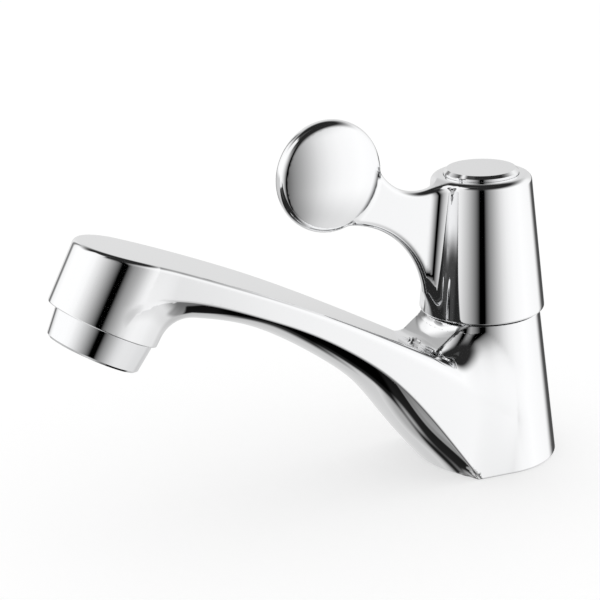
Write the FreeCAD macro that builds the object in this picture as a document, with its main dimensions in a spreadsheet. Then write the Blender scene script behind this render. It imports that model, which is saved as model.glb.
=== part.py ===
import FreeCAD, Part
import Sketcher
import math
import os

# A single lever basin tap: a cast body with a rising spout, a quarter turn
# headwork inside the column, a lever handle over it and a jet former in the
# head of the spout. Millimetres. The column stands on the origin, +Z is up
# and the spout points towards -X.

os.makedirs("parts", exist_ok=True)
doc = FreeCAD.newDocument("basin_tap")
sheet = doc.addObject("Spreadsheet::Sheet", "Sizes")
V = FreeCAD.Vector


class Dim:
    """A size with its number and the text that the sheet's users are bound to."""

    def __init__(self, value, text):
        self.value = value
        self.text = text

    def __add__(self, other):
        other = dim(other)
        return Dim(self.value + other.value, "(%s + %s)" % (self.text, other.text))

    def __radd__(self, other):
        return dim(other) + self

    def __sub__(self, other):
        other = dim(other)
        return Dim(self.value - other.value, "(%s - %s)" % (self.text, other.text))

    def __rsub__(self, other):
        return dim(other) - self

    def __mul__(self, other):
        other = dim(other)
        return Dim(self.value * other.value, "(%s * %s)" % (self.text, other.text))

    def __rmul__(self, other):
        return dim(other) * self

    def __truediv__(self, other):
        other = dim(other)
        return Dim(self.value / other.value, "(%s / %s)" % (self.text, other.text))

    def __neg__(self):
        return Dim(-self.value, "(0 - %s)" % self.text)


def dim(value):
    return value if isinstance(value, Dim) else Dim(float(value), repr(float(value)))


rows = []


def size(name, value):
    rows.append(name)
    cell = "A%d" % len(rows)
    sheet.set(cell, repr(float(value)))
    sheet.setAlias(cell, name)
    return Dim(float(value), "Sizes." + name)


def dsin(angle):
    return Dim(math.sin(math.radians(angle.value)), "sin(%s * 1deg)" % angle.text)


def dcos(angle):
    return Dim(math.cos(math.radians(angle.value)), "cos(%s * 1deg)" % angle.text)


# Column of the body
base_r = size("base_r", 23.0)
column_top_r = size("column_top_r", 17.8)
shoulder_z = size("shoulder_z", 47.0)
base_edge = size("base_edge", 0.9)
collar_r = size("collar_r", 14.6)
collar_top_z = size("collar_top_z", 53.0)
foot_corner_x = size("foot_corner_x", 14.4)
foot_trim_z = size("foot_trim_z", 12.0)
ramp_foot_x = size("ramp_foot_x", 24.5)
ramp_foot_z = size("ramp_foot_z", 39.4)
ramp_head_x = size("ramp_head_x", 13.6)
ramp_half = size("ramp_half", 11.0)
ramp_root_z = size("ramp_root_z", 30.0)

# Waterways and seats in the body
inlet_r = size("inlet_r", 9.5)
inlet_deep = size("inlet_deep", 14.0)
passage_r = size("passage_r", 5.6)
seat_z = size("seat_z", 24.0)
seat_bore_r = size("seat_bore_r", 9.7)
gallery_r = size("gallery_r", 11.4)
gallery_low_z = size("gallery_low_z", 26.4)
gallery_high_z = size("gallery_high_z", 40.5)
thread_r = size("thread_r", 10.45)
channel_r = size("channel_r", 4.3)
channel_start_z = size("channel_start_z", 28.0)
channel_knee_x = size("channel_knee_x", 48.7)
channel_knee_z = size("channel_knee_z", 44.6)
channel_mid_x = size("channel_mid_x", 70.0)
channel_mid_z = size("channel_mid_z", 57.9)
groove_in_r = size("groove_in_r", 14.2)
groove_out_r = size("groove_out_r", 17.2)
groove_deep = size("groove_deep", 1.9)

# Head of the spout and the line that the water leaves along
outlet_x = size("outlet_x", 128.1)
outlet_z = size("outlet_z", 57.9)
outlet_tilt = size("outlet_tilt", 30.0)
head_forward = size("head_forward", 0.8)
head_rim_r = size("head_rim_r", 16.4)
head_top_r = size("head_top_r", 17.2)
head_long = size("head_long", 34.0)
head_bore_r = size("head_bore_r", 12.1)
head_bore_deep = size("head_bore_deep", 11.2)
head_pool_r = size("head_pool_r", 10.4)
head_pool_deep = size("head_pool_deep", 6.2)
rim_h = size("rim_h", 8.8)
head_root_r = size("head_root_r", 8.0)
head_root_reach = size("head_root_reach", 10.0)
edge_tip_r = size("edge_tip_r", 1.4)
edge_root_r = size("edge_root_r", 3.0)

# Sections of the spout, from the head to the column: distance out along
# the spout, height of the top, of the lower edge and of the keel, and
# half widths above and below.
stations = []
for number, (out, top, edge, keel, wide, wide_low) in enumerate((
        (116.0, 85.9, 75.0, 68.0, 16.6, 16.3),
        (98.0, 78.4, 71.0, 63.4, 17.9, 17.7),
        (84.0, 72.0, 64.9, 59.0, 18.6, 18.6),
        (69.0, 64.7, 57.4, 50.6, 19.1, 19.2),
        (55.0, 57.3, 48.3, 40.4, 19.4, 19.5),
        (42.0, 50.1, 37.2, 28.0, 19.6, 19.9),
        (30.0, 43.3, 22.8, 11.6, 19.8, 20.4),
        (20.0, 37.6, 8.6, -1.0, 19.9, 21.0),
        (12.0, 33.0, -2.8, -12.0, 20.0, 21.4),
        (0.0, 26.0, -20.0, -28.0, 20.0, 21.6))):
    stations.append({
        "out": size("section%d_out" % number, out),
        "top": size("section%d_top" % number, top),
        "edge": size("section%d_edge" % number, edge),
        "keel": size("section%d_keel" % number, keel),
        "wide": size("section%d_wide" % number, wide),
        "wide_low": size("section%d_wide_low" % number, wide_low)})
tip_out = size("tip_out", 136.0)
tip_top = size("tip_top", 92.4)
mid_head_out = size("mid_head_out", 124.2)
mid_head_top = size("mid_head_top", 88.7)

# Headwork
seal_r = size("seal_r", 8.6)
seal_hole_r = size("seal_hole_r", 5.6)
seal_thick = size("seal_thick", 2.2)
barrel_r = size("barrel_r", 9.4)
barrel_gap = size("barrel_gap", 0.6)
barrel_lip = size("barrel_lip", 8.75)
disc_bore_r = size("disc_bore_r", 7.7)
disc_fit = size("disc_fit", 0.1)
disc_thick = size("disc_thick", 3.0)
disc_film = size("disc_film", 0.02)
port_r = size("port_r", 2.1)
port_out = size("port_out", 3.4)
slot_wide = size("slot_wide", 2.4)
slot_deep = size("slot_deep", 1.4)
slot_play = size("slot_play", 0.1)
window_wide = size("window_wide", 9.0)
window_low_z = size("window_low_z", 33.0)
window_high_z = size("window_high_z", 39.4)
stem_flange_r = size("stem_flange_r", 7.55)
stem_flange_low_z = size("stem_flange_low_z", 40.0)
bore_step_z = size("bore_step_z", 44.0)
stem_r = size("stem_r", 4.5)
stem_play = size("stem_play", 0.05)
washer_thick = size("washer_thick", 0.5)
thread_play = size("thread_play", 0.05)
gasket_thick = size("gasket_thick", 1.0)
gasket_r = size("gasket_r", 13.4)
flange_r = size("flange_r", 13.0)
flange_thick = size("flange_thick", 1.4)
hexagon_r = size("hexagon_r", 12.2)
hexagon_tall = size("hexagon_tall", 5.0)
gland_r = size("gland_r", 6.8)
gland_top_z = size("gland_top_z", 66.5)
ring_low_z = size("ring_low_z", 48.0)
ring_high_z = size("ring_high_z", 56.0)
ring_wire_r = size("ring_wire_r", 0.6)
groove_play = size("groove_play", 0.1)
clip_thick = size("clip_thick", 0.8)
clip_r = size("clip_r", 6.2)
clip_gap = size("clip_gap", 0.1)
clip_groove = size("clip_groove", 0.6)
spline_r = size("spline_r", 3.95)
spline_low_z = size("spline_low_z", 68.4)
stem_top_z = size("stem_top_z", 80.5)
tooth_wide = size("tooth_wide", 0.6)
tooth_deep = size("tooth_deep", 0.4)
teeth = 20

# Handle
sleeve_low_z = size("sleeve_low_z", 47.6)
sleeve_low_r = size("sleeve_low_r", 19.3)
sleeve_top_z = size("sleeve_top_z", 89.9)
sleeve_top_r = size("sleeve_top_r", 15.15)
sleeve_wall = size("sleeve_wall", 1.5)
sleeve_edge_r = size("sleeve_edge_r", 1.2)
cavity_top_z = size("cavity_top_z", 84.0)
web_half = size("web_half", 2.5)
web_low_x = size("web_low_x", 49.2)
web_low_z = size("web_low_z", 52.7)
web_low_r = size("web_low_r", 28.5)
web_top_x = size("web_top_x", 21.5)
web_top_z = size("web_top_z", 103.7)
web_top_r = size("web_top_r", 16.0)
web_root_r = size("web_root_r", 4.0)
web_bottom_z = size("web_bottom_z", 50.5)
web_tail_rise = size("web_tail_rise", 3.0)
web_rise = size("web_rise", 7.7)
web_inner_x = size("web_inner_x", 14.0)
pad_x = size("pad_x", 52.1)
pad_z = size("pad_z", 96.9)
pad_r = size("pad_r", 16.6)
pad_half = size("pad_half", 6.2)
pad_crown_r = size("pad_crown_r", 36.0)
pad_edge_r = size("pad_edge_r", 3.2)
boss_r = size("boss_r", 7.6)
boss_low_z = size("boss_low_z", 69.5)
insert_r = size("insert_r", 5.6)
insert_play = size("insert_play", 0.05)
insert_top_z = size("insert_top_z", 82.0)
spline_play = size("spline_play", 0.08)
insert_head_room = size("insert_head_room", 0.3)
screw_r = size("screw_r", 2.0)
screw_play = size("screw_play", 0.3)
screw_head_r = size("screw_head_r", 3.8)
screw_head_tall = size("screw_head_tall", 1.9)
screw_reach = size("screw_reach", 12.0)
screw_slot = size("screw_slot", 1.0)
screw_socket_r = size("screw_socket_r", 1.5)
recess_z = size("recess_z", 86.6)
button_r = size("button_r", 11.35)
button_play = size("button_play", 0.1)
button_top_z = size("button_top_z", 91.65)
button_thick = size("button_thick", 2.4)
button_wall = size("button_wall", 1.3)
button_bevel = size("button_bevel", 0.9)

# Jet former
ring_low_r = size("ring_low_r", 13.7)
ring_top_r = size("ring_top_r", 14.6)
ring_gap = size("ring_gap", 0.25)
ring_bevel = size("ring_bevel", 0.6)
mouth_r = size("mouth_r", 9.5)
mouth_lip = size("mouth_lip", 1.3)
former_bore_r = size("former_bore_r", 10.4)
former_thread_top = size("former_thread_top", 17.0)
former_play = size("former_play", 0.1)
washer_in_r = size("washer_in_r", 9.2)
washer_gap = size("washer_gap", 0.05)
grid_thick = size("grid_thick", 2.6)
grid_hole_r = size("grid_hole_r", 0.78)
grid_pitch = size("grid_pitch", 2.1)
grid_rings = 4
lower_mesh_thick = size("lower_mesh_thick", 0.5)
mesh_hole_r = size("mesh_hole_r", 0.7)
mesh_pitch = size("mesh_pitch", 2.4)
mesh_rings = 3
diffuser_tall = size("diffuser_tall", 4.2)
diffuser_wall = size("diffuser_wall", 1.2)
diffuser_core_r = size("diffuser_core_r", 4.6)
diffuser_floor = size("diffuser_floor", 1.2)
jet_tall = size("jet_tall", 4.0)
jet_r = size("jet_r", 0.9)
jet_out = size("jet_out", 7.2)
jets = 12
stack_gap = size("stack_gap", 0.05)
doc.recompute()

# Helpers


def bind(obj, prop, value):
    obj.setExpression(prop, dim(value).text)


def place(obj, x, y, z):
    obj.Placement = FreeCAD.Placement(V(dim(x).value, dim(y).value, dim(z).value), obj.Placement.Rotation)
    bind(obj, "Placement.Base.x", x)
    bind(obj, "Placement.Base.y", y)
    bind(obj, "Placement.Base.z", z)


def aim_outlet(obj, height):
    """Stands an object on the outlet's line, at a height along it."""
    turn = FreeCAD.Rotation(V(0, 1, 0), outlet_tilt.value)
    obj.Placement = FreeCAD.Placement(obj.Placement.Base, turn)
    bind(obj, "Placement.Rotation.Angle", outlet_tilt)
    height = dim(height)
    place(obj, -outlet_x + height * dsin(outlet_tilt), 0, outlet_z + height * dcos(outlet_tilt))


def cylinder(name, radius, low, high, x=0, y=0):
    obj = doc.addObject("Part::Cylinder", name)
    bind(obj, "Radius", radius)
    bind(obj, "Height", dim(high) - low)
    place(obj, x, y, low)
    return obj


def cone(name, low_r, high_r, low, high):
    obj = doc.addObject("Part::Cone", name)
    bind(obj, "Radius1", low_r)
    bind(obj, "Radius2", high_r)
    bind(obj, "Height", dim(high) - low)
    place(obj, 0, 0, low)
    return obj


def box(name, x0, x1, y0, y1, z0, z1):
    obj = doc.addObject("Part::Box", name)
    bind(obj, "Length", dim(x1) - x0)
    bind(obj, "Width", dim(y1) - y0)
    bind(obj, "Height", dim(z1) - z0)
    place(obj, x0, y0, z0)
    return obj


def cross_cylinder(name, radius, x, z, half):
    """A cylinder along Y, centred on the plane of the lever."""
    obj = doc.addObject("Part::Cylinder", name)
    obj.Placement = FreeCAD.Placement(V(0, 0, 0), FreeCAD.Rotation(V(1, 0, 0), 90))
    bind(obj, "Radius", radius)
    bind(obj, "Height", dim(half) * 2)
    place(obj, x, half, z)
    return obj


def fuse(name, *shapes):
    obj = doc.addObject("Part::MultiFuse", name)
    obj.Shapes = list(shapes)
    obj.Refine = True
    return obj


def cut(name, base, *tools):
    obj = doc.addObject("Part::Cut", name)
    obj.Base = base
    obj.Tool = tools[0] if len(tools) == 1 else fuse(name + "_tools", *tools)
    obj.Refine = True
    return obj


def common(name, first, second):
    obj = doc.addObject("Part::Common", name)
    obj.Base = first
    obj.Tool = second
    obj.Refine = True
    return obj


def origin_plane(body, role):
    for feature in body.Origin.OriginFeatures:
        if feature.Role == role:
            return feature
    raise RuntimeError("no plane " + role)


def outline(sketch, points):
    """A closed outline of lines whose corners are held by named sizes."""
    count = len(points)
    corners = [V(dim(x).value, dim(y).value, 0) for x, y in points]
    for k in range(count):
        sketch.addGeometry(Part.LineSegment(corners[k], corners[(k + 1) % count]), False)
    for k in range(count):
        sketch.addConstraint(Sketcher.Constraint("Coincident", k, 2, (k + 1) % count, 1))
    for k, (x, y) in enumerate(points):
        for kind, value, axis in (("DistanceX", dim(x), -2), ("DistanceY", dim(y), -1)):
            if value.text == "0.0":
                sketch.addConstraint(Sketcher.Constraint("PointOnObject", k, 1, axis))
                continue
            index = sketch.addConstraint(Sketcher.Constraint(kind, -1, 1, k, 1, value.value))
            sketch.setExpression("Constraints[%d]" % index, value.text)


def turned(name, points):
    """A piece turned about its own vertical axis from a closed outline."""
    body = doc.addObject("PartDesign::Body", name)
    sketch = body.newObject("Sketcher::SketchObject", name + "_outline")
    sketch.AttachmentSupport = [(origin_plane(body, "XZ_Plane"), "")]
    sketch.MapMode = "FlatFace"
    outline(sketch, points)
    turn = body.newObject("PartDesign::Revolution", name + "_turn")
    turn.Profile = sketch
    turn.ReferenceAxis = (sketch, ["V_Axis"])
    turn.Angle = 360
    body.Tip = turn
    return body


def ring_holes(body, name, pitch, rings, radius):
    """Pockets a plate through with rings of small holes round a middle one."""
    doc.recompute()
    plane = origin_plane(body, "XY_Plane")
    before = body.Shape.Volume
    for ring in range(rings + 1):
        sketch = body.newObject("Sketcher::SketchObject", "%s_hole%d" % (name, ring))
        sketch.AttachmentSupport = [(plane, "")]
        sketch.MapMode = "FlatFace"
        away = pitch * ring
        sketch.addGeometry(Part.Circle(V(away.value, 0, 0), V(0, 0, 1), radius.value), False)
        sketch.addConstraint(Sketcher.Constraint("PointOnObject", 0, 3, -1))
        if ring:
            index = sketch.addConstraint(Sketcher.Constraint("DistanceX", -1, 1, 0, 3, away.value))
            sketch.setExpression("Constraints[%d]" % index, away.text)
        else:
            sketch.addConstraint(Sketcher.Constraint("PointOnObject", 0, 3, -2))
        index = sketch.addConstraint(Sketcher.Constraint("Radius", 0, radius.value))
        sketch.setExpression("Constraints[%d]" % index, radius.text)
        pocket = body.newObject("PartDesign::Pocket", "%s_pocket%d" % (name, ring))
        pocket.Profile = sketch
        pocket.Type = "ThroughAll"
        pocket.Midplane = True
        body.Tip = pocket
        if ring:
            pattern = body.newObject("PartDesign::PolarPattern", "%s_round%d" % (name, ring))
            pattern.Originals = [pocket]
            pattern.Axis = (sketch, ["N_Axis"])
            pattern.Angle = 360
            pattern.Occurrences = 6 * ring
            body.Tip = pattern
    doc.recompute()
    if not body.Shape.Volume < before:
        raise RuntimeError(name + " has no holes")


# Body casting: the spout is lofted through its sections, joined to the head
# and trimmed along the top, and the column, the ramp and the collar are
# added to it.


def spout_shape():
    tall = 6.0
    wires = []
    for s in stations:
        x = -s["out"].value
        top = s["top"].value + tall
        wide = s["wide"].value
        low = s["wide_low"].value
        corners = [V(x, -wide, top), V(x, wide, top), V(x, low, s["edge"].value),
                   V(x, 0, s["keel"].value), V(x, -low, s["edge"].value)]
        wires.append(Part.Wire([
            Part.makeLine(corners[0], corners[1]),
            Part.makeLine(corners[1], corners[2]),
            Part.Arc(corners[2], corners[3], corners[4]).toShape(),
            Part.makeLine(corners[4], corners[0])]))
    loft = Part.makeLoft(wires, True, False)
    tilt = math.radians(outlet_tilt.value)
    up = V(math.sin(tilt), 0, math.cos(tilt))
    forward = V(-math.cos(tilt), 0, math.sin(tilt))
    rim = V(-outlet_x.value, 0, outlet_z.value) + up * rim_h.value + forward * head_forward.value
    head = Part.makeCone(head_rim_r.value, head_top_r.value, head_long.value, rim, up)
    blank = loft.fuse(head)
    side = 2 * base_r.value
    back = base_r.value
    line = [(-tip_out.value, tip_top.value), (-mid_head_out.value, mid_head_top.value)]
    line += [(-s["out"].value, s["top"].value) for s in stations]
    slope = (line[-1][1] - line[-2][1]) / (line[-1][0] - line[-2][0])
    line.append((back, line[-1][1] + slope * back))
    curve = Part.BSplineCurve()
    curve.interpolate([V(x, -side, z) for x, z in line])
    sky = tip_top.value + tall * 6
    ends = [V(line[0][0], -side, line[0][1]), V(back, -side, line[-1][1]),
            V(back, -side, sky), V(line[0][0], -side, sky)]
    face = Part.Face(Part.Wire([
        curve.toShape(), Part.makeLine(ends[1], ends[2]),
        Part.makeLine(ends[2], ends[3]), Part.makeLine(ends[3], ends[0])]))
    return blank.cut(face.extrude(V(0, 2 * side, 0))).removeSplitter()


def middle(edge):
    return edge.valueAt((edge.FirstParameter + edge.LastParameter) / 2)


spout = doc.addObject("Part::Feature", "spout_blank")
spout.Shape = spout_shape()

root_x = -(outlet_x.value - head_root_reach.value)
root_edges = []
for number, edge in enumerate(spout.Shape.Edges, 1):
    point = middle(edge)
    if root_x < point.x < -stations[1]["out"].value and point.z < stations[0]["edge"].value - 3:
        if point.z > outlet_z.value:
            root_edges.append((number, head_root_r.value, head_root_r.value))
rooted = doc.addObject("Part::Fillet", "spout_rooted")
rooted.Base = spout
rooted.Edges = root_edges
doc.recompute()


def top_height(x):
    near = [(-s["out"].value, s["top"].value) for s in stations]
    near.append((-mid_head_out.value, mid_head_top.value))
    near.append((-tip_out.value, tip_top.value))
    near.sort()
    for (x0, z0), (x1, z1) in zip(near, near[1:]):
        if x0 <= x <= x1:
            return z0 + (z1 - z0) * (x - x0) / (x1 - x0)
    return near[-1][1]


edge_list = []
for number, edge in enumerate(rooted.Shape.Edges, 1):
    point = middle(edge)
    if abs(point.z - top_height(point.x)) > 0.6 or point.x > -2 or edge.Length < 0.01:
        continue
    first = edge.valueAt(edge.FirstParameter).x
    last = edge.valueAt(edge.LastParameter).x
    tip = edge_tip_r.value
    root = edge_root_r.value
    if abs(first - last) < stations[1]["out"].value / 2:
        edge_list.append((number, tip, tip))
    elif first < last:
        edge_list.append((number, tip, root))
    else:
        edge_list.append((number, root, tip))
softened = doc.addObject("Part::Fillet", "spout_softened")
softened.Base = rooted
softened.Edges = edge_list
doc.recompute()

ground = box("ground", -outlet_x * 2, outlet_x, -base_r * 2, base_r * 2, -base_r * 3, 0)
spout_above = cut("spout_above", softened, ground)

column = turned("column_blank", [
    (0, 0), (base_r - base_edge, 0), (base_r, base_edge), (column_top_r, shoulder_z),
    (collar_r, shoulder_z), (collar_r, collar_top_z), (0, collar_top_z)])

front = box("column_front", -base_r * 2, -foot_corner_x, -base_r, base_r, -1, foot_trim_z)
column_trimmed = cut("column_trimmed", column, front)

ramp = doc.addObject("PartDesign::Body", "ramp_blank")
ramp_sketch = ramp.newObject("Sketcher::SketchObject", "ramp_outline")
ramp_sketch.AttachmentSupport = [(origin_plane(ramp, "XZ_Plane"), "")]
ramp_sketch.MapMode = "FlatFace"
outline(ramp_sketch, [
    (-ramp_foot_x, ramp_foot_z), (-ramp_head_x, shoulder_z),
    (0, shoulder_z), (0, ramp_root_z), (-ramp_foot_x, ramp_root_z)])
ramp_pad = ramp.newObject("PartDesign::Pad", "ramp_pad")
ramp_pad.Profile = ramp_sketch
ramp_pad.Midplane = True
bind(ramp_pad, "Length", ramp_half * 2)
ramp.Tip = ramp_pad

casting = fuse("casting_blank", spout_above, column_trimmed, ramp)

inlet_bore = cylinder("inlet_bore", inlet_r, 0, inlet_deep)
passage = cylinder("passage_bore", passage_r, 0, seat_z + 1)
seat_bore = cylinder("seat_bore", seat_bore_r, seat_z, gallery_low_z + 1)
gallery = cylinder("gallery", gallery_r, gallery_low_z, gallery_high_z)
thread_bore = cylinder("thread_bore", thread_r, gallery_low_z, collar_top_z + 1)
groove = cut("groove", cylinder("groove_outer", groove_out_r, 0, groove_deep),
             cylinder("groove_inner", groove_in_r, 0, groove_deep))
head_bore = cylinder("head_bore", head_bore_r, 0, head_bore_deep + 2)
aim_outlet(head_bore, rim_h - 2)
head_pool = cylinder("head_pool", head_pool_r, 0, head_bore_deep + head_pool_deep)
aim_outlet(head_pool, rim_h)


def channel_shape():
    tilt = math.radians(outlet_tilt.value)
    high = rim_h.value + head_bore_deep.value + head_pool_deep.value - channel_r.value
    start = V(-outlet_x.value + high * math.sin(tilt), 0, outlet_z.value + high * math.cos(tilt))
    points = [start, V(-channel_mid_x.value, 0, channel_mid_z.value),
              V(-channel_knee_x.value, 0, channel_knee_z.value),
              V(-(gallery_r.value - 2.0), 0, channel_start_z.value)]
    solid = None
    for a, b in zip(points, points[1:]):
        leg = Part.makeCylinder(channel_r.value, (b - a).Length, a, b - a)
        solid = leg if solid is None else solid.fuse(leg)
        solid = solid.fuse(Part.makeSphere(channel_r.value, b))
    return solid


channel = doc.addObject("Part::Feature", "channel")
channel.Shape = channel_shape()

body_casting = cut("body_casting", casting, inlet_bore, passage, seat_bore, gallery, thread_bore,
                   groove, head_bore, head_pool, channel)

base_ring = turned("base_ring", [
    (groove_in_r + groove_play, groove_play), (groove_out_r - groove_play, groove_play),
    (groove_out_r - groove_play, groove_deep), (groove_in_r + groove_play, groove_deep)])

# Headwork
disc_low_z = seat_z + seal_thick
disc_seat_z = disc_low_z + disc_thick
disc_top_z = disc_seat_z + disc_film + disc_thick
flange_z = collar_top_z + gasket_thick
stem_flange_top_z = bore_step_z - washer_thick - disc_film * 2
stem_bore_r = stem_r + stem_play

seat_seal = turned("seat_seal", [
    (seal_hole_r, seat_z), (seal_r, seat_z), (seal_r, disc_low_z), (seal_hole_r, disc_low_z)])

barrel = fuse(
    "barrel",
    cylinder("barrel_tube", barrel_r, seat_z + barrel_gap, gallery_high_z),
    cylinder("barrel_thread", thread_r - thread_play, gallery_high_z, flange_z),
    cylinder("barrel_flange", flange_r, flange_z, flange_z + flange_thick),
    cylinder("barrel_gland", gland_r, flange_z, gland_top_z))
hexagon = doc.addObject("Part::Prism", "hexagon")
hexagon.Polygon = 6
bind(hexagon, "Circumradius", hexagon_r)
bind(hexagon, "Height", hexagon_tall)
place(hexagon, 0, 0, flange_z + flange_thick)
headwork = cut(
    "headwork_housing",
    fuse("headwork_blank", barrel, hexagon),
    cylinder("lip_bore", barrel_lip, seat_z, disc_low_z),
    cylinder("disc_bore", disc_bore_r, disc_low_z, bore_step_z),
    cylinder("stem_bore", stem_bore_r, bore_step_z - 1, gland_top_z + 1),
    box("windows", -barrel_r - 1, barrel_r + 1, -window_wide / 2, window_wide / 2, window_low_z, window_high_z))
headwork_gasket = turned("headwork_gasket", [
    (thread_r + groove_play, collar_top_z), (gasket_r, collar_top_z),
    (gasket_r, flange_z), (thread_r + groove_play, flange_z)])

fixed_disc = cut(
    "fixed_disc",
    cylinder("fixed_disc_blank", disc_bore_r - disc_fit, disc_low_z, disc_seat_z),
    cylinder("fixed_port_a", port_r, disc_low_z - 1, disc_seat_z + 1, port_out),
    cylinder("fixed_port_b", port_r, disc_low_z - 1, disc_seat_z + 1, -port_out))
turning_disc = cut(
    "turning_disc",
    cylinder("turning_disc_blank", disc_bore_r - disc_fit, disc_seat_z + disc_film, disc_top_z),
    cylinder("turning_port_a", port_r, disc_seat_z - 1, disc_top_z + 1, 0, port_out),
    cylinder("turning_port_b", port_r, disc_seat_z - 1, disc_top_z + 1, 0, -port_out),
    box("drive_slot", -disc_bore_r, disc_bore_r, -slot_wide / 2, slot_wide / 2, disc_top_z - slot_deep, disc_top_z + 1))

tang_half = slot_wide / 2 - slot_play
stem_blank = fuse(
    "stem_blank",
    box("stem_tang", -(disc_bore_r - 1.2), disc_bore_r - 1.2, -tang_half, tang_half,
        disc_top_z - slot_deep + slot_play, stem_flange_low_z + 0.5),
    cylinder("stem_flange", stem_flange_r, stem_flange_low_z, stem_flange_top_z),
    cylinder("stem_shaft", stem_r, stem_flange_low_z, spline_low_z),
    cylinder("stem_spline", spline_r, stem_flange_low_z, stem_top_z))


def stem_groove(name, low, high, radius):
    return cut(name, cylinder(name + "_outer", stem_r * 2, low, high), cylinder(name + "_inner", radius, low, high))


clip_low_z = gland_top_z + clip_gap
ring_groove_r = stem_bore_r - ring_wire_r * 2


def spline_ribs(name, wide, inner, outer, low, high):
    """Radial ribs round the stem, one for each tooth of its spline."""
    ribs = None
    for k in range(teeth):
        rib = Part.makeBox(outer - inner, wide, high - low, V(inner, -wide / 2, low))
        rib.rotate(V(0, 0, 0), V(0, 0, 1), 360.0 * k / teeth)
        ribs = rib if ribs is None else ribs.fuse(rib)
    obj = doc.addObject("Part::Feature", name)
    obj.Shape = ribs
    return obj


spline_gaps = spline_ribs("spline_gaps", tooth_wide.value, spline_r.value - tooth_deep.value,
                          stem_r.value, spline_low_z.value, stem_top_z.value + 1)
stem = cut(
    "headwork_stem", stem_blank,
    stem_groove("ring_groove_low", ring_low_z - ring_wire_r - groove_play, ring_low_z + ring_wire_r + groove_play,
                ring_groove_r),
    stem_groove("ring_groove_high", ring_high_z - ring_wire_r - groove_play,
                ring_high_z + ring_wire_r + groove_play, ring_groove_r),
    stem_groove("clip_groove_cut", clip_low_z, clip_low_z + clip_thick, stem_r - clip_groove),
    cylinder("stem_tap", screw_r, stem_top_z - screw_reach, stem_top_z + 1),
    spline_gaps)


def sealing_ring(name, height):
    obj = doc.addObject("Part::Torus", name)
    wire = ring_wire_r - stem_play / 2
    bind(obj, "Radius1", stem_bore_r - ring_wire_r)
    bind(obj, "Radius2", wire)
    place(obj, 0, 0, height)
    return obj


stem_ring_low = sealing_ring("stem_ring_low", ring_low_z)
stem_ring_high = sealing_ring("stem_ring_high", ring_high_z)
glide_washer = turned("glide_washer", [
    (stem_bore_r + groove_play, bore_step_z - washer_thick), (disc_bore_r - disc_fit, bore_step_z - washer_thick),
    (disc_bore_r - disc_fit, bore_step_z), (stem_bore_r + groove_play, bore_step_z)])
stem_clip = cut(
    "stem_clip",
    cylinder("clip_plate", clip_r, clip_low_z, clip_low_z + clip_thick),
    cylinder("clip_hole", stem_r - clip_groove, clip_low_z - 1, clip_low_z + clip_thick + 1),
    box("clip_mouth", 0, clip_r + 1, -stem_r / 2, stem_r / 2, clip_low_z - 1, clip_low_z + clip_thick + 1))

# Handle: sleeve, web and finger pad in one casting, with a boss inside
sleeve_blank = cone("sleeve_blank", sleeve_low_r, sleeve_top_r, sleeve_low_z, sleeve_top_z)
def wall_r(z):
    share = (z - sleeve_low_z.value) / (sleeve_top_z.value - sleeve_low_z.value)
    return sleeve_low_r.value + (sleeve_top_r.value - sleeve_low_r.value) * share


def web_section(z):
    """The web's section at a height, flared by an arc on each side into the sleeve."""
    half = web_half.value
    flare = web_root_r.value
    wall = wall_r(z)
    middle_x = -math.sqrt((wall + flare) ** 2 - (half + flare) ** 2)
    side = {}
    for sign in (-1, 1):
        centre = V(middle_x, sign * (half + flare), z)
        on_web = V(middle_x, sign * half, z)
        on_wall = V(centre.x * wall / (wall + flare), centre.y * wall / (wall + flare), z)
        aim = (on_web + on_wall) * 0.5 - centre
        side[sign] = (on_web, centre + aim * (flare / aim.Length), on_wall)
    outer = -pad_x.value
    inner = -web_inner_x.value
    low, high = side[-1], side[1]
    return Part.Wire([
        Part.makeLine(V(outer, half, z), V(outer, -half, z)),
        Part.makeLine(V(outer, -half, z), low[0]),
        Part.Arc(low[0], low[1], low[2]).toShape(),
        Part.makeLine(low[2], V(inner, -half, z)),
        Part.makeLine(V(inner, -half, z), V(inner, half, z)),
        Part.makeLine(V(inner, half, z), high[2]),
        Part.Arc(high[2], high[1], high[0]).toShape(),
        Part.makeLine(high[0], V(outer, half, z))])


def web_shape():
    blank = Part.makeLoft([web_section(web_bottom_z.value), web_section(sleeve_top_z.value)], True, True)
    half = web_half.value
    tall = web_rise.value
    slab = Part.makeBox(pad_x.value - web_top_x.value, 2 * half, tall,
                        V(-pad_x.value, -half, sleeve_top_z.value))
    blank = blank.fuse(slab)
    wide = 4 * web_root_r.value
    x, z, r = -web_low_x.value, web_low_z.value, web_low_r.value
    root_z = web_low_z.value + web_tail_rise.value
    root = V(x + math.sqrt(r ** 2 - web_tail_rise.value ** 2), -wide, root_z)
    deep = V(-wall_r(web_bottom_z.value), -wide, web_bottom_z.value - 0.01)
    far = V(-pad_x.value - pad_r.value, -wide, deep.z)
    lift = V(far.x, -wide, z + r)
    crown = V(x, -wide, z + r)
    halfway = V(x + r * math.sin(math.radians(45)), -wide, z + r * math.cos(math.radians(45)))
    under = Part.Face(Part.Wire([
        Part.makeLine(deep, far), Part.makeLine(far, lift), Part.makeLine(lift, crown),
        Part.Arc(crown, halfway, root).toShape(), Part.makeLine(root, deep)]))
    over = Part.makeCylinder(web_top_r.value, 2 * wide, V(-web_top_x.value, -wide, web_top_z.value), V(0, 1, 0))
    return blank.cut(under.extrude(V(0, 2 * wide, 0))).cut(over).removeSplitter()


web = doc.addObject("Part::Feature", "web_blank")
web.Shape = web_shape()


def ball(name, radius, x, y, z):
    obj = doc.addObject("Part::Sphere", name)
    bind(obj, "Radius", radius)
    place(obj, x, y, z)
    return obj


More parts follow.
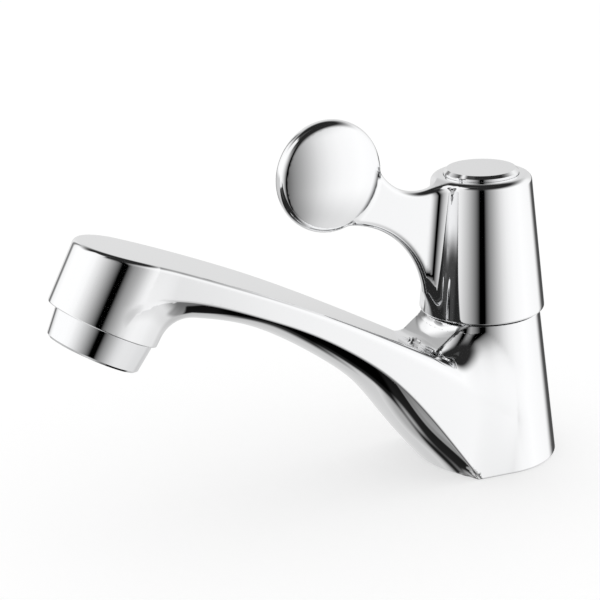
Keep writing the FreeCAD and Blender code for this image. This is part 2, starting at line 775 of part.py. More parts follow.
# The pad is a lens: a round plate between two shallow domes, with a full rim
pad_plate = cross_cylinder("pad_plate", pad_r, -pad_x, pad_z, pad_half)
dome_out = pad_crown_r - pad_half
pad_near = common("pad_near", pad_plate, ball("pad_near_dome", pad_crown_r, -pad_x, dome_out, pad_z))
pad_blank = common("pad_blank", pad_near, ball("pad_far_dome", pad_crown_r, -pad_x, -dome_out, pad_z))
doc.recompute()
pad_rims = [n for n, edge in enumerate(pad_blank.Shape.Edges, 1)
            if edge.BoundBox.ZLength > pad_r.value and edge.BoundBox.YLength < 0.01]
pad_rounded = doc.addObject("Part::Fillet", "pad_rounded")
pad_rounded.Base = pad_blank
pad_rounded.Edges = [(n, pad_edge_r.value, pad_edge_r.value) for n in pad_rims]
doc.recompute()
handle_solid = fuse("handle_solid", sleeve_blank, web, pad_rounded)
cavity_low_r = sleeve_low_r - sleeve_wall
sleeve_slope = (sleeve_low_r - sleeve_top_r) / (sleeve_top_z - sleeve_low_z)
cavity_top_r = cavity_low_r - sleeve_slope * (cavity_top_z - sleeve_low_z)
cavity = cut(
    "sleeve_cavity",
    cone("cavity_cone", cavity_low_r, cavity_top_r, sleeve_low_z, cavity_top_z),
    cylinder("boss", boss_r, boss_low_z, cavity_top_z))
handle = cut(
    "handle_casting", handle_solid, cavity,
    cylinder("insert_bore", insert_r, boss_low_z - 1, insert_top_z),
    cylinder("handle_screw_hole", screw_r + screw_play, insert_top_z - 1, recess_z + 1),
    cylinder("button_recess", button_r + button_play, recess_z, sleeve_top_z + 1))

socket_top_z = stem_top_z + insert_head_room
insert_ribs = spline_ribs("insert_ribs", (tooth_wide - spline_play * 2).value,
                          (spline_r - tooth_deep + spline_play).value, (spline_r + spline_play * 2).value,
                          (boss_low_z - 1).value, socket_top_z.value)
handle_insert = cut(
    "handle_insert",
    cylinder("insert_blank", insert_r - insert_play, boss_low_z, insert_top_z),
    cut("insert_socket", cylinder("socket_bore", spline_r + spline_play, boss_low_z - 1, socket_top_z), insert_ribs),
    cylinder("insert_hole", screw_r + screw_play, stem_top_z, insert_top_z + 1))
screw_blank = fuse(
    "screw_blank",
    cylinder("screw_shank", screw_r - 0.03, stem_top_z - screw_reach + 1, recess_z + 0.5),
    cylinder("screw_head", screw_head_r, recess_z, recess_z + screw_head_tall))
screw_socket = doc.addObject("Part::Prism", "screw_socket")
screw_socket.Polygon = 6
bind(screw_socket, "Circumradius", screw_socket_r)
bind(screw_socket, "Height", screw_head_tall)
place(screw_socket, 0, 0, recess_z + screw_slot)
handle_screw = cut("handle_screw", screw_blank, screw_socket)

button_under_z = button_top_z - button_thick
index_button = turned("index_button", [
    (0, button_under_z), (button_r - button_wall, button_under_z), (button_r - button_wall, recess_z),
    (button_r, recess_z), (button_r, button_top_z - button_bevel), (button_r - button_bevel, button_top_z),
    (0, button_top_z)])

# Jet former, drawn upright on the outlet's own line and then stood on it
ring_top = rim_h - ring_gap
former_r = head_bore_r - former_play
aerator_ring = turned("aerator_ring", [
    (mouth_r, 0), (ring_low_r - ring_bevel, 0), (ring_low_r, ring_bevel), (ring_top_r, ring_top),
    (former_r, ring_top), (former_r, former_thread_top), (former_bore_r, former_thread_top),
    (former_bore_r, mouth_lip), (mouth_r, mouth_lip)])
plate_r = former_bore_r - former_play
grid_low = mouth_lip
grid_top = grid_low + grid_thick
outlet_grid = turned("outlet_grid", [(0, grid_low), (plate_r, grid_low), (plate_r, grid_top), (0, grid_top)])
ring_holes(outlet_grid, "grid", grid_pitch, grid_rings, grid_hole_r)
mesh_low = grid_top + stack_gap
mesh_top = mesh_low + lower_mesh_thick
lower_mesh = turned("lower_mesh", [(0, mesh_low), (plate_r, mesh_low), (plate_r, mesh_top), (0, mesh_top)])
ring_holes(lower_mesh, "mesh", mesh_pitch, mesh_rings, mesh_hole_r)
diffuser_low = mesh_top + stack_gap
diffuser_top = diffuser_low + diffuser_tall
diffuser = turned("jet_diffuser", [
    (plate_r - diffuser_wall, diffuser_low), (plate_r, diffuser_low), (plate_r, diffuser_top),
    (0, diffuser_top), (0, diffuser_top - diffuser_floor), (plate_r - diffuser_wall, diffuser_top - diffuser_floor)])
doc.recompute()
diffuser_holes = []
for k in range(jets):
    angle = 360.0 * (k + 0.5) / jets
    hole = cylinder("diffuser_hole%d" % k, jet_r, diffuser_top - diffuser_floor - 1, diffuser_top + 1,
                    diffuser_core_r * math.cos(math.radians(angle)), diffuser_core_r * math.sin(math.radians(angle)))
    diffuser_holes.append(hole)
jet_diffuser = cut("diffuser_plate", diffuser, *diffuser_holes)
jet_low = diffuser_top + stack_gap
jet_top = jet_low + jet_tall
jet_holes = []
for k in range(jets):
    angle = 360.0 * k / jets
    hole = cylinder("jet_hole%d" % k, jet_r, jet_low - 1, jet_top + 1,
                    jet_out * math.cos(math.radians(angle)), jet_out * math.sin(math.radians(angle)))
    jet_holes.append(hole)
jet_core = cut("jet_core", cylinder("jet_core_blank", plate_r, jet_low, jet_top), *jet_holes)
upper_low = jet_top + stack_gap
upper_top = upper_low + lower_mesh_thick
upper_mesh = turned("inlet_mesh", [(0, upper_low), (plate_r, upper_low), (plate_r, upper_top), (0, upper_top)])
ring_holes(upper_mesh, "inlet", mesh_pitch, mesh_rings, mesh_hole_r)
washer_top = rim_h + head_bore_deep - washer_gap
aerator_washer = turned("aerator_washer", [
    (washer_in_r, former_thread_top + washer_gap), (former_r - former_play, former_thread_top + washer_gap),
    (former_r - former_play, washer_top), (washer_in_r, washer_top)])
for piece in (aerator_ring, outlet_grid, lower_mesh, jet_diffuser, jet_core, upper_mesh, aerator_washer):
    aim_outlet(piece, 0)

pieces = {
    "body_casting": body_casting,
    "base_ring": base_ring,
    "seat_seal": seat_seal,
    "fixed_disc": fixed_disc,
    "turning_disc": turning_disc,
    "headwork_housing": headwork,
    "headwork_gasket": headwork_gasket,
    "headwork_stem": stem,
    "stem_ring_low": stem_ring_low,
    "stem_ring_high": stem_ring_high,
    "glide_washer": glide_washer,
    "stem_clip": stem_clip,
    "handle_casting": handle,
    "handle_insert": handle_insert,
    "handle_screw": handle_screw,
    "index_button": index_button,
    "aerator_ring": aerator_ring,
    "outlet_grid": outlet_grid,
    "lower_mesh": lower_mesh,
    "jet_diffuser": jet_diffuser,
    "jet_core": jet_core,
    "inlet_mesh": upper_mesh,
    "aerator_washer": aerator_washer,
}
doc.recompute()

for obj in doc.Objects:
    if "Invalid" in obj.State or "Error" in obj.State:
        raise RuntimeError("failed: " + obj.Name + " " + str(obj.State))
for node, obj in pieces.items():
    shape = obj.Shape
    if shape.isNull() or not shape.isValid():
        raise RuntimeError("bad shape: " + node)
    obj.Label = node
for node, obj in pieces.items():
    shape = obj.Shape
    shape.exportStep("parts/%s.step" % node)
    room = shape.BoundBox
    print("%-18s solids %d volume %10.2f  x %7.2f %7.2f  y %6.2f %6.2f  z %6.2f %6.2f" % (
        node, len(shape.Solids), shape.Volume, room.XMin, room.XMax, room.YMin, room.YMax, room.ZMin, room.ZMax))
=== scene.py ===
"""The basin tap of the photograph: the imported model, dressed and lit.

Two castings get a finer skin, laid on fields that describe the tap's soft cast forms.
The other pieces keep their own meshes. Lengths are millimetres up to the point where
a mesh is made, and the scene is in metres.
"""
import math

import bmesh
import bpy
import numpy as np
from mathutils import Matrix, Vector
from mathutils.bvhtree import BVHTree


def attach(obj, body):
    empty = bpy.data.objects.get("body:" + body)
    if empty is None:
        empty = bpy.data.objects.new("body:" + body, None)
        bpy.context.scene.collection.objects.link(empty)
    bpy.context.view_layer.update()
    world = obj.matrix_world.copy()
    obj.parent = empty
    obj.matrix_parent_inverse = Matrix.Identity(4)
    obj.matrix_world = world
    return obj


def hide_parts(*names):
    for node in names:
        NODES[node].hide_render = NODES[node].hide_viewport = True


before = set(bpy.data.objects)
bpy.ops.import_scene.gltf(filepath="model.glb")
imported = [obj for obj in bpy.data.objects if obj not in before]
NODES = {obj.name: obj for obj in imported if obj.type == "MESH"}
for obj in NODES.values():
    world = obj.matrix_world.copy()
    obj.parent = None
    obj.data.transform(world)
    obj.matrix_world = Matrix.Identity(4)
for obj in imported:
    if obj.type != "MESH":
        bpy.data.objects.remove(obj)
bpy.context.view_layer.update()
MM = 0.001

# Floors under a divisor: a length, a squared length and a squared slope
TINY, TINY_SQUARE, TINY_SLOPE = 1e-9, 1e-12, 1e-6


# Camera, fitted to the photograph's edges
CAM_AT = Vector((-287.521, -447.435, 231.151)) * MM
CAM_YAW = 0.465400
CAM_PITCH = 0.327317
CAM_ROLL = -0.038168
CAM_LENS = 108.4587
CAM_SENSOR = 36.0
CAM_NEAR, CAM_FAR = 0.01, 50.0


def make_camera():
    """The camera of the photograph: where it stands and how it is turned."""
    data = bpy.data.cameras.new("camera")
    data.sensor_width = CAM_SENSOR
    data.lens = CAM_LENS
    data.clip_start, data.clip_end = CAM_NEAR, CAM_FAR
    cam = bpy.data.objects.new("camera", data)
    bpy.context.scene.collection.objects.link(cam)
    ahead = Vector((math.sin(CAM_YAW) * math.cos(CAM_PITCH),
                    math.cos(CAM_YAW) * math.cos(CAM_PITCH), -math.sin(CAM_PITCH)))
    side = Vector((math.cos(CAM_YAW), -math.sin(CAM_YAW), 0.0))
    above = side.cross(ahead)
    right = side * math.cos(CAM_ROLL) + above * math.sin(CAM_ROLL)
    up = above * math.cos(CAM_ROLL) - side * math.sin(CAM_ROLL)
    turn = Matrix((right, up, -ahead)).transposed()
    cam.matrix_world = Matrix.Translation(CAM_AT) @ turn.to_4x4()
    bpy.context.scene.camera = cam


# Surfaces as fields: a value in millimetres, below zero inside the metal,
# and its gradient, for many points at once.


def ease(t):
    """A soft step from nothing at zero to one at one."""
    t = np.clip(t, 0.0, 1.0)
    return t * t * (3 - 2 * t)


def unit(gradient):
    """Gradients brought to length one."""
    return gradient / np.maximum(np.linalg.norm(gradient, axis=1, keepdims=True), TINY)


def plane(p, normal, through):
    """The half space behind a plane."""
    n = np.array(normal, float)
    n /= np.linalg.norm(n)
    return (p - np.array(through, float)) @ n, np.repeat(n[None], len(p), 0)


def flip(field):
    """Inside turned out."""
    return -field[0], -field[1]


def cone_about(p, base, axis, low_r, high_r, length):
    """The side of a cone that has low_r at its base and high_r after length along its axis."""
    a = np.array(axis, float)
    a /= np.linalg.norm(a)
    q = p - np.array(base, float)
    along = q @ a
    out = q - along[:, None] * a
    far = np.linalg.norm(out, axis=1)
    slope = (high_r - low_r) / length
    scale = 1 / math.sqrt(1 + slope * slope)
    value = (far - low_r - slope * along) * scale
    return value, (out / np.maximum(far, TINY)[:, None] - slope * a) * scale


def rod_about(p, base, axis, radius):
    """A round rod without ends."""
    return cone_about(p, base, axis, radius, radius, 1.0)


def ball_about(p, centre, radius):
    """A ball."""
    q = p - np.array(centre, float)
    far = np.linalg.norm(q, axis=1)
    return far - radius, q / np.maximum(far, TINY)[:, None]


# The cosines between two surfaces' directions that a fillet can be worked out for, and the one from
# which they count as running level
COS_LEAST, COS_MOST, COS_LEVEL = -0.97, 0.9998, -0.2


def join(one, two, run, least=None):
    """Two solids as one, with a hollow fillet that leaves each surface at run from their corner.
    With least, the fillet shrinks to it where the two run nearly level."""
    a, ga = one
    b, gb = two
    lower = a < b
    value = np.where(lower, a, b)
    grad = np.where(lower[:, None], ga, gb)
    run = np.broadcast_to(np.asarray(run, float), a.shape)
    if not np.any(run > 0):
        return value, grad
    c = np.clip((unit(ga) * unit(gb)).sum(1), COS_LEAST, COS_MOST)
    if least is not None:
        run = run + (least - run) * ease((c - COS_LEVEL) / (1 - COS_LEVEL))
    radius = run * np.sqrt((1 + c) / (1 - c))
    p, q = radius - a, radius - b
    near = (p - c * q > 0) & (q - c * p > 0) & (run > 0) & (p > 0) & (q > 0)
    square = np.maximum((p * p + q * q - 2 * c * p * q) / (1 - c * c), TINY_SQUARE)
    reach = np.sqrt(square)
    pull = ((p - c * q)[:, None] * ga + (q - c * p)[:, None] * gb) / ((1 - c * c) * reach)[:, None]
    value = np.where(near, radius - reach, value)
    grad = np.where(near[:, None], pull, grad)
    return value, grad


def trim(one, two, run):
    """What two solids share, with its edge rounded off by run on each side."""
    return flip(join(flip(one), flip(two), run))


class Curve:
    """A smooth curve through points, straight beyond its ends."""

    def __init__(self, xs, ys):
        order = np.argsort(xs)
        self.x = np.array(xs, float)[order]
        self.y = np.array(ys, float)[order]
        h = np.diff(self.x)
        rise = np.diff(self.y) / h
        n = len(self.x)
        m = np.zeros((n, n))
        r = np.zeros(n)
        m[0, :3] = h[1], -(h[0] + h[1]), h[0]
        m[-1, -3:] = h[-1], -(h[-1] + h[-2]), h[-2]
        for i in range(1, n - 1):
            m[i, i - 1:i + 2] = h[i - 1], 2 * (h[i - 1] + h[i]), h[i]
            r[i] = 6 * (rise[i] - rise[i - 1])
        self.m = np.linalg.solve(m, r)
        self.h = h
        self.rise = rise

    def __call__(self, t):
        """The value and the slope at t."""
        s = np.clip(t, self.x[0], self.x[-1])
        i = np.clip(np.searchsorted(self.x, s) - 1, 0, len(self.h) - 1)
        h, m0, m1 = self.h[i], self.m[i], self.m[i + 1]
        u = s - self.x[i]
        first = self.rise[i] - h * (2 * m0 + m1) / 6
        bend = (m1 - m0) / h
        value = self.y[i] + u * (first + u * (m0 / 2 + u * bend / 6))
        slope = first + u * (m0 + u * bend / 2)
        return value + slope * (t - s), slope


# Sections of the spout: distance out from the column's axis, height of the
# top, of the lower edge and of the keel, half widths above and below.
SECTIONS = [
    (116.0, 85.9, 75.0, 68.0, 16.6, 16.3),
    (98.0, 78.4, 71.0, 63.4, 17.9, 17.7),
    (84.0, 72.0, 64.9, 59.0, 18.6, 18.6),
    (69.0, 64.7, 57.4, 50.6, 19.1, 19.2),
    (55.0, 57.3, 48.3, 40.4, 19.4, 19.5),
    (42.0, 50.1, 37.2, 28.0, 19.6, 19.9),
    (30.0, 43.3, 22.8, 11.6, 19.8, 20.4),
    (20.0, 37.6, 8.6, -1.0, 19.9, 21.0),
    (12.0, 33.0, -2.8, -12.0, 20.0, 21.4),
    (0.0, 26.0, -20.0, -28.0, 20.0, 21.6)]

# The top's line goes on over the head, and the upper half width is the one this far above the top.
HEAD_TOP = [(136.0, 92.4), (124.2, 88.7)]
TOP_SPARE = 6.0

OUT = [s[0] for s in SECTIONS]
TOP = Curve(OUT + [h[0] for h in HEAD_TOP], [s[1] for s in SECTIONS] + [h[1] for h in HEAD_TOP])
EDGE = Curve(OUT, [s[2] for s in SECTIONS])
KEEL = Curve(OUT, [s[3] for s in SECTIONS])
WIDE = Curve(OUT, [s[4] for s in SECTIONS])
WIDE_LOW = Curve(OUT, [s[5] for s in SECTIONS])

# The outlet head: how its axis leans, the middle of the outlet and of the rim above it, and its cone
TILT = math.radians(30.0)
UP = np.array([math.sin(TILT), 0.0, math.cos(TILT)])
FORWARD = np.array([-math.cos(TILT), 0.0, math.sin(TILT)])
OUTLET = np.array([-128.1, 0.0, 57.9])
RIM_UP, RIM_AHEAD = 8.8, 0.8
RIM = OUTLET + UP * RIM_UP + FORWARD * RIM_AHEAD
HEAD_LOW_R, HEAD_HIGH_R, HEAD_LONG = 16.4, 17.2, 34.0

# The column and the collar that the sleeve sits over
BASE_R, COLUMN_R, SHOULDER_Z = 23.0, 17.8, 47.0
COLLAR_R, COLLAR_Z = 14.6, 53.0

# Where the spout's walls end, out of sight in head and column, and how they draw in there
SPOUT_FAR_X, SPOUT_NEAR_X, RIM_NEAR_X = -132.0, 9.0, -105.0
COLUMN_FROM, HEAD_FROM, DRAW_IN = 1.0, 1.0, 0.07

# Roundings of the body, as the run they take on each side of an edge or corner
UNDER_EDGE, RIM_EDGE, SHOULDER_EDGE, COLLAR_EDGE, RAMP_EDGE, BOTTOM_EDGE = 0.5, 0.35, 0.4, 0.3, 0.6, 0.9
NECK_RUN, NECK_LEAST, RAMP_RUN = 9.0, 4.0, 3.0
COLUMN_RUN = 8.0

# The fillet on the column is wider on its flanks: by how much, from what height, and how far out
COLUMN_MORE, FLANK_LOW_Z, FLANK_RISE = 4.5, 20.0, 20.0
FLANK_NEAR, FLANK_FAR, FLANK_SOFT = -6.0, 26.0, 14.0

# The top's edge rounds off more and more from TOP_FROM towards the column
TOP_EDGE, TOP_MORE, TOP_FROM, TOP_LONG = 1.4, 8e-6, 100.0, 105.0

# The column's front is cut slanting, so that it stays inside the foot's hollow underside
FOOT_CUT, FOOT_CUT_EDGE = ((-1, 0, -0.48), (-14.4, 0, 0)), 1.0

# The sloping block under the lever, between collar and spout
RAMP_FACE, RAMP_HALF, RAMP_LOW_Z = ((-7.6, 0, 10.9), (-24.5, 0, 39.4)), 11.0, 36.0


def spout_top(p):
    """The spout's top, straight across and curved along."""
    z, slope = TOP(-p[:, 0])
    grad = np.stack([slope, np.zeros(len(p)), np.ones(len(p))], 1)
    size = np.linalg.norm(grad, axis=1)
    return (p[:, 2] - z) / size, grad / size[:, None]


def spout_side(p):
    """The flat-sided walls, half widths running straight from the top's to the lower edge's,
    drawn in where they end inside the head and inside the column."""
    out = -p[:, 0]
    top, top_s = TOP(out)
    edge, edge_s = EDGE(out)
    wide, wide_s = WIDE(out)
    low, low_s = WIDE_LOW(out)
    tall = top + TOP_SPARE - edge
    share = (p[:, 2] - edge) / tall
    half = low + (wide - low) * share
    share_s = (-edge_s - share * (top_s - edge_s)) / tall
    half_s = low_s + (wide_s - low_s) * share + (wide - low) * share_s
    lean = math.tan(TILT)
    head_middle = -RIM[0] - (p[:, 2] - RIM[2]) * lean
    past = np.maximum(out - head_middle + HEAD_FROM, 0.0)
    short = np.maximum(COLUMN_FROM - out, 0.0)
    half = half - DRAW_IN * past ** 2 - DRAW_IN * short ** 2
    half_s = half_s - 2 * DRAW_IN * past + 2 * DRAW_IN * short
    rise = -(wide - low) / tall + 2 * DRAW_IN * past * lean
    grad = np.stack([half_s, np.sign(p[:, 1]), rise], 1)
    size = np.linalg.norm(grad, axis=1)
    return (np.abs(p[:, 1]) - half) / size, grad / size[:, None]


def spout_under(p):
    """The underside, an arc from edge to edge through the keel, and straight walls above its middle."""
    out = -p[:, 0]
    edge, edge_s = EDGE(out)
    keel, keel_s = KEEL(out)
    low, low_s = WIDE_LOW(out)
    deep = edge - keel
    deep_s = edge_s - keel_s
    radius = (low * low + deep * deep) / (2 * deep)
    radius_s = low * low_s / deep + deep_s * (0.5 - low * low / (2 * deep * deep))
    rise = np.minimum(p[:, 2] - keel - radius, 0.0)
    far = np.hypot(p[:, 1], rise)
    gx = rise / far * (keel_s + radius_s) + radius_s
    grad = np.stack([gx, p[:, 1] / far, rise / far], 1)
    size = np.linalg.norm(grad, axis=1)
    return (far - radius) / size, grad / size[:, None]


def between(p, half):
    """The slab within half of the middle plane."""
    return trim(plane(p, (0, -1, 0), (0, -half, 0)), plane(p, (0, 1, 0), (0, half, 0)), 0.0)


def body_field(p):
    """The spout body: foot, column, spout, outlet head, ramp and collar."""
    out, high = -p[:, 0], p[:, 2]
    shoulder = plane(p, (0, 0, 1), (0, 0, SHOULDER_Z))
    walls = trim(spout_side(p), spout_under(p), UNDER_EDGE)
    walls = trim(walls, plane(p, (-1, 0, 0), (SPOUT_FAR_X, 0, 0)), 0.0)
    walls = trim(walls, plane(p, (1, 0, 0), (SPOUT_NEAR_X, 0, 0)), 0.0)
    head = cone_about(p, RIM, UP, HEAD_LOW_R, HEAD_HIGH_R, HEAD_LONG)
    walls = join(walls, head, NECK_RUN, NECK_LEAST)
    rim = join(plane(p, -UP, RIM), plane(p, (-1, 0, 0), (RIM_NEAR_X, 0, 0)), 0.0)
    walls = trim(walls, rim, RIM_EDGE)
    column = cone_about(p, (0, 0, 0), (0, 0, 1), BASE_R, COLUMN_R, SHOULDER_Z)
    column = trim(trim(column, plane(p, *FOOT_CUT), FOOT_CUT_EDGE), shoulder, SHOULDER_EDGE)
    spout = trim(walls, spout_top(p), TOP_EDGE + TOP_MORE * np.clip(TOP_FROM - out, 0.0, TOP_LONG) ** 3)
    wider = ease((high - FLANK_LOW_Z) / FLANK_RISE) * ease((out - FLANK_NEAR) / FLANK_SOFT)
    wider *= ease((FLANK_FAR - out) / FLANK_SOFT)
    body = join(spout, column, COLUMN_RUN + COLUMN_MORE * wider)
    ramp = trim(plane(p, *RAMP_FACE), between(p, RAMP_HALF), RAMP_EDGE)
    ramp = trim(ramp, plane(p, (0, 0, -1), (0, 0, RAMP_LOW_Z)), 0.0)
    ramp = trim(ramp, plane(p, (1, 0, 0), (0, 0, 0)), 0.0)
    ramp = trim(ramp, shoulder, 0.0)
    body = join(body, ramp, RAMP_RUN)
    collar = rod_about(p, (0, 0, 0), (0, 0, 1), COLLAR_R)
    collar = trim(collar, plane(p, (0, 0, 1), (0, 0, COLLAR_Z)), COLLAR_EDGE)
    body = join(body, collar, 0.0)
    return trim(body, plane(p, (0, 0, -1), (0, 0, 0)), BOTTOM_EDGE)


# The lever: sleeve, web and finger pad
SLEEVE_LOW_Z, SLEEVE_LOW_R, SLEEVE_TOP_Z, SLEEVE_TOP_R = 47.6, 19.3, 89.9, 15.15
SLEEVE_FALL = (SLEEVE_LOW_R - SLEEVE_TOP_R) / (SLEEVE_TOP_Z - SLEEVE_LOW_Z)
RECESS_R, RECESS_Z = 11.45, 86.6
WEB_HALF, WEB_HIGH_Z = 2.5, 97.6
WEB_UNDER, WEB_UNDER_R = (-49.2, 0.0, 52.7), 28.5
WEB_OVER, WEB_OVER_R = (-21.5, 0.0, 103.7), 16.0
WEB_TAIL, WEB_TAIL_Z, WEB_NEAR_X = ((-5.21, 0.0, -1.86), (-20.86, 0.0, 55.7)), 57.0, -5.0
PAD, PAD_R, PAD_HALF, PAD_CROWN_R = (-52.1, 0.0, 96.9), 16.6, 6.2, 36.0

# Roundings of the lever, as the run they take on each side of an edge or corner
WEB_EDGE, WEB_RUN, OVER_EDGE, LEVER_EDGE, SLEEVE_EDGE = 2.3, 4.0, 1.0, 2.1, 0.9
PAD_EDGE, PAD_RUN, RECESS_EDGE = 1.9, 1.2, 0.15


def drum(p, centre, radius):
    """A round rod lying along Y."""
    return rod_about(p, centre, (0, 1, 0), radius)


def handle_field(p):
    """The lever: a tapered sleeve, a thin web that sweeps up and the round pad at its end."""
    up, down = (0, 0, 1), (0, 0, -1)
    sleeve = cone_about(p, (0, 0, SLEEVE_LOW_Z), up, SLEEVE_LOW_R, SLEEVE_TOP_R, SLEEVE_TOP_Z - SLEEVE_LOW_Z)
    under = trim(flip(drum(p, WEB_UNDER, WEB_UNDER_R)), plane(p, (-1, 0, 0), PAD), 0.0)
    under = trim(under, join(plane(p, *WEB_TAIL), plane(p, down, (0, 0, WEB_TAIL_Z)), 0.0), 0.0)
    web = trim(between(p, WEB_HALF), under, WEB_EDGE)
    web = trim(web, plane(p, (1, 0, 0), (WEB_NEAR_X, 0, 0)), 0.0)
    walls = join(sleeve, web, WEB_RUN)
    level = join(plane(p, up, (0, 0, SLEEVE_TOP_Z)), plane(p, (1, 0, 0), WEB_OVER), 0.0)
    top = trim(flip(drum(p, WEB_OVER, WEB_OVER_R)), level, OVER_EDGE)
    top = trim(top, plane(p, up, (0, 0, WEB_HIGH_Z)), 0.0)
    handle = trim(walls, top, LEVER_EDGE)
    handle = trim(handle, plane(p, down, (0, 0, SLEEVE_LOW_Z)), SLEEVE_EDGE)
    pad = drum(p, PAD, PAD_R)
    for crown_y in (PAD_CROWN_R - PAD_HALF, PAD_HALF - PAD_CROWN_R):
        pad = trim(pad, ball_about(p, (PAD[0], crown_y, PAD[2]), PAD_CROWN_R), PAD_EDGE)
    handle = join(handle, pad, PAD_RUN)
    recess = rod_about(p, (0, 0, 0), up, RECESS_R)
    recess = trim(recess, plane(p, down, (0, 0, RECESS_Z)), 0.0)
    return trim(handle, flip(recess), RECESS_EDGE)


# Where the castings' insides lie. Their walls stay as model.glb has them.
SLEEVE_WALL, SLEEVE_ROOM_Z = 1.15, 88.6
BORE_R, SEAL_IN_R, SEAL_OUT_R, SEAL_LOW_Z, SEAL_HIGH_Z = 11.5, 14.1, 17.3, 0.01, 2.0
OUTLET_BORE_R, OUTLET_DEEP = 12.2, 26.6
WATERWAY, WATERWAY_R = [(0.0, 28.0), (48.7, 44.6), (70.0, 57.9), (109.0, 76.0)], 4.7


def in_sleeve(p):
    """The points that belong to the sleeve's inside."""
    away = np.hypot(p[:, 0], p[:, 1])
    wall = SLEEVE_LOW_R - SLEEVE_FALL * (p[:, 2] - SLEEVE_LOW_Z)
    return (away < wall - SLEEVE_WALL) & (p[:, 2] < SLEEVE_ROOM_Z)


def in_bores(p):
    """The points that belong to the body's bores: column, seal groove, outlet and waterway."""
    round_z, high = np.hypot(p[:, 0], p[:, 1]), p[:, 2]
    q = p - OUTLET
    along = q @ UP
    away = np.linalg.norm(q - along[:, None] * UP, axis=1)
    inner = round_z < BORE_R
    inner |= (round_z > SEAL_IN_R) & (round_z < SEAL_OUT_R) & (high > SEAL_LOW_Z) & (high < SEAL_HIGH_Z)
    inner |= (away < OUTLET_BORE_R) & (along < OUTLET_DEEP)
    for (x0, z0), (x1, z1) in zip(WATERWAY, WATERWAY[1:]):
        d = np.array([-(x1 - x0), 0.0, z1 - z0])
        r = p - np.array([-x0, 0.0, z0])
        t = np.clip(r @ d / (d @ d), 0, 1)
        inner |= np.linalg.norm(r - t[:, None] * d, axis=1) < WATERWAY_R
    return inner


# How finely the skins are cut: the start mesh, the rounds of splitting, the turn in degrees and the
# lengths that call for a split, and the steps that lay the points on a field. NORMAL_STEP is the
# length over which a gradient is measured, and a corner that is turned further from its face than
# the cosine FACE_TURN takes the face's own direction.
GRID, ROUNDS, BEND = 0.8, 4, math.cos(math.radians(7.0))
LONGEST, SHORTEST = 3.0, 0.3
FEW_STEPS, ALL_STEPS, STEP_MOST = 4, 8, 0.8
NORMAL_STEP = 0.002
FACE_TURN = 0.5


def gradient(field, p):
    """A field's gradient by differences."""
    parts = []
    for axis in range(3):
        d = np.zeros(3)
        d[axis] = NORMAL_STEP
        parts.append((field(p + d)[0] - field(p - d)[0]) / (2 * NORMAL_STEP))
    return np.stack(parts, 1)


def settle(field, p, steps):
    """Moves points along the gradient on to the surface."""
    p = p.copy()
    for _ in range(steps):
        value, grad = field(p)
        step = -value[:, None] * grad / np.maximum((grad * grad).sum(1), TINY_SLOPE)[:, None]
        size = np.linalg.norm(step, axis=1, keepdims=True)
        p += step * np.minimum(1.0, STEP_MOST / np.maximum(size, TINY))
    return p


def split(points, tris, wanted):
    """Splits triangles at the middle of each wanted edge."""
    edges = np.sort(np.stack([tris, np.roll(tris, -1, 1)], -1).reshape(-1, 2), 1)
    unique, index = np.unique(edges, axis=0, return_inverse=True)
    index = index.reshape(-1, 3)
    marked = wanted(unique)
    new = np.full(len(unique), -1)
    new[marked] = len(points) + np.arange(marked.sum())
    points = np.concatenate([points, points[unique[marked]].mean(1)])
    mids = new[index]
    count = (mids >= 0).sum(1)
    out = [tris[count == 0]]
    for k in range(3):
        a, b, c = tris[:, k], tris[:, (k + 1) % 3], tris[:, (k + 2) % 3]
        ab, bc, ca = mids[:, k], mids[:, (k + 1) % 3], mids[:, (k + 2) % 3]
        one = (count == 1) & (ab >= 0)
        out += [np.stack([a, ab, c], 1)[one], np.stack([ab, b, c], 1)[one]]
        two = (count == 2) & (ca < 0)
        out += [np.stack([ab, b, bc], 1)[two], np.stack([a, ab, bc], 1)[two], np.stack([a, bc, c], 1)[two]]
    a, b, c = tris.T
    ab, bc, ca = mids.T
    full = count == 3
    out += [np.stack(t, 1)[full] for t in ((a, ab, ca), (ab, b, bc), (ca, bc, c), (ab, bc, ca))]
    return points, np.concatenate(out)


def even(node):
    """A node's skin as even small triangles, and the node's own surface to measure against."""
    copy = bpy.data.objects.new("even", NODES[node].data.copy())
    bpy.context.scene.collection.objects.link(copy)
    cut = copy.modifiers.new("even", "REMESH")
    cut.mode = "VOXEL"
    cut.voxel_size = GRID * MM
    graph = bpy.context.evaluated_depsgraph_get()
    mesh = bpy.data.meshes.new_from_object(copy.evaluated_get(graph))
    mesh.calc_loop_triangles()
    points = np.array([v.co for v in mesh.vertices]) / MM
    tris = np.array([t.vertices[:] for t in mesh.loop_triangles])
    source = NODES[node].data
    source.calc_loop_triangles()
    near = BVHTree.FromPolygons([tuple(v.co) for v in source.vertices],
                                [tuple(t.vertices) for t in source.loop_triangles])
    bpy.data.objects.remove(copy)
    bpy.data.meshes.remove(mesh)
    return points, tris, near


def refined(node, field, kept):
    """A node's mesh with its outer skin laid on a field, finely cut where it bends.
    The points that kept names stay on the node's own surface."""
    points, tris, near = even(node)
    for _ in range(ROUNDS):
        inner = kept(points)
        points[~inner] = settle(field, points[~inner], FEW_STEPS)
        normal = np.zeros_like(points)
        normal[~inner] = unit(field(points[~inner])[1])

        def wanted(edges):
            a, b = edges.T
            size = np.linalg.norm(points[a] - points[b], axis=1)
            turn = (normal[a] * normal[b]).sum(1)
            return ~inner[a] & ~inner[b] & (((turn < BEND) & (size > SHORTEST)) | (size > LONGEST))

        points, tris = split(points, tris, wanted)
    inner = kept(points)
    points[~inner] = settle(field, points[~inner], ALL_STEPS)
    for i in np.nonzero(inner)[0]:
        spot = near.find_nearest(Vector(points[i] * MM))[0]
        points[i] = np.array(spot) / MM
    return points, tris, inner


